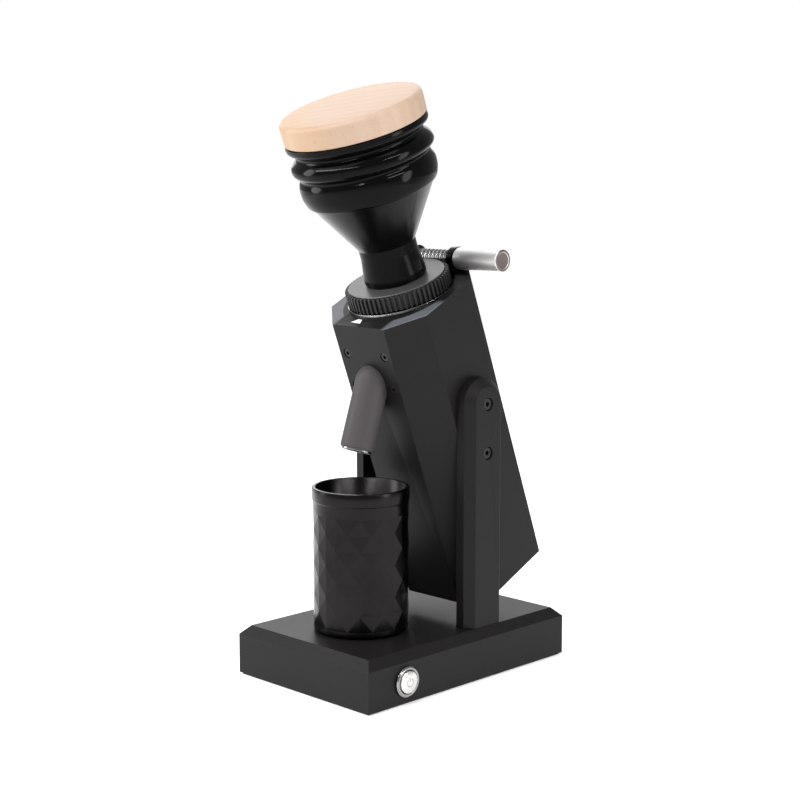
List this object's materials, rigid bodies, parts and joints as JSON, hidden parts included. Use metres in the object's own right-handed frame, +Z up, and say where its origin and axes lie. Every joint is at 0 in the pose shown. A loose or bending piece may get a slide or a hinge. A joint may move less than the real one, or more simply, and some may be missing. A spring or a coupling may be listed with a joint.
{
  "type": "electric coffee grinder",
  "caption": "Electric coffee grinder: tilted octagonal motor body on two legs, worm-adjusted grind dial, bellows hopper with wooden lid, spout and dosing cup.",
  "frame": {"origin": "middle of the underside of the pad under the base", "axes": "+Z up, -Y towards the front where the spout and the cup are, +X to the right"},
  "size_m": [0.1216, 0.1915, 0.3715],
  "materials": {
    "black_coat": "matte powder coat",
    "spout_coat": "satin powder coat",
    "black_anodised": "satin anodised",
    "dial_black": "bead blasted and anodised",
    "bare_steel": "turned",
    "zinc_steel": "zinc plated",
    "black_steel": "black oxide",
    "satin_knob": "satin",
    "cast_aluminium": "machined",
    "rubber_black": "glossy",
    "pad_rubber": "matte",
    "neck_plastic": "glossy",
    "beech": "oiled",
    "board_green": "solder mask",
    "part_plastic": "moulded",
    "winding": "enamelled wire",
    "brass": "turned",
    "white_inlay": "filled"
  },
  "bodies": {
    "stand": {"base_shell": "black_coat", "bottom_plate": "zinc_steel", "base_pad": "pad_rubber", "base_screws": "zinc_steel", "board_standoffs": "brass", "control_board": "board_green", "transformer": "winding", "capacitors": "part_plastic", "heat_sink": "cast_aluminium", "button_bezel": "bare_steel", "button_nut": "zinc_steel", "button_terminals": "brass", "power_inlet": "part_plastic", "inlet_nut": "zinc_steel", "left_leg": "black_coat", "right_leg": "black_coat", "leg_fixing_screws": "zinc_steel", "leg_screws": "black_steel", "clamp_bars": "zinc_steel", "body_shell": "black_coat", "top_cover": "black_coat", "top_screws": "black_steel", "pointer_mark": "white_inlay", "bottom_cap": "black_coat", "bottom_cap_screws": "black_steel", "front_screws": "black_steel", "spout": "spout_coat", "spout_ring": "bare_steel", "grinding_chamber": "cast_aluminium", "motor_screws": "zinc_steel", "motor_housing": "zinc_steel", "stator": "winding", "motor_bearings": "bare_steel", "shaft_seal": "pad_rubber", "motor_cable": "part_plastic", "cable_grommet": "pad_rubber", "guide_pins": "bare_steel", "dial_washer": "bare_steel", "worm_yoke": "black_anodised", "yoke_screws": "zinc_steel"},
    "drive": {"drive_shaft": "bare_steel", "rotor": "zinc_steel", "lower_carrier": "cast_aluminium", "lower_burr": "bare_steel", "feed_auger": "bare_steel"},
    "dial": {"grind_dial": "dial_black", "dial_retainer": "cast_aluminium"},
    "burr_carrier": {"upper_carrier": "cast_aluminium", "upper_burr": "bare_steel", "burr_screws": "zinc_steel"},
    "worm": {"worm_shaft": "bare_steel", "knob": "satin_knob"},
    "hopper": {"hopper_neck": "neck_plastic", "hopper_cone": "black_anodised"},
    "bellows": {"bellows": "rubber_black"},
    "lid": {"lid": "beech", "lid_plug": "rubber_black"},
    "cup": {"dosing_cup": "black_anodised"},
    "button": {"button_cap": "bare_steel"}
  },
  "joints": [
    {"name": "burr_spin", "type": "hinge", "parent": "stand", "child": "drive", "pos_m": [0, -0.00187, 0.23678], "axis": [0, -0.3502, 0.9367], "continuous": true},
    {"name": "dial_turn", "type": "hinge", "parent": "stand", "child": "dial", "pos_m": [0, -0.00187, 0.23678], "axis": [0, -0.3502, 0.9367], "range_deg": [-30, 30]},
    {"name": "burr_lift", "type": "slide", "parent": "stand", "child": "burr_carrier", "axis": [0, -0.3502, 0.9367], "range_m": [-0.0002, 0.0002]},
    {"name": "worm_turn", "type": "hinge", "parent": "stand", "child": "worm", "pos_m": [0, 0.02899, 0.2622], "axis": [1, 0, 0], "range_deg": [-1930, 1930]},
    {"name": "hopper_lift", "type": "slide", "parent": "burr_carrier", "child": "hopper", "axis": [0, -0.3502, 0.9367], "range_m": [0, 0.06]},
    {"name": "bellows_press", "type": "slide", "parent": "hopper", "child": "bellows", "axis": [0, 0.3502, -0.9367], "range_m": [0, 0.014], "stiffness_N_per_m": 300, "springref_m": -0.01, "deforming": ["bellows"]},
    {"name": "lid_lift", "type": "slide", "parent": "bellows", "child": "lid", "axis": [0, -0.3502, 0.9367], "range_m": [0, 0.04]},
    {"name": "button_press", "type": "slide", "parent": "stand", "child": "button", "axis": [-1, 0, 0], "range_m": [0, 0.0016], "stiffness_N_per_m": 800, "springref_m": -0.001},
    {"name": "cup_slide", "type": "slide", "parent": "stand", "child": "cup", "axis": [0, -1, 0], "range_m": [0, 0.06]}
  ],
  "couplings": [
    {"joint": "worm_turn", "follows": "dial_turn", "ratio": 64},
    {"joint": "burr_lift", "follows": "dial_turn", "m_per_rad": 0.00031831}
  ]
}
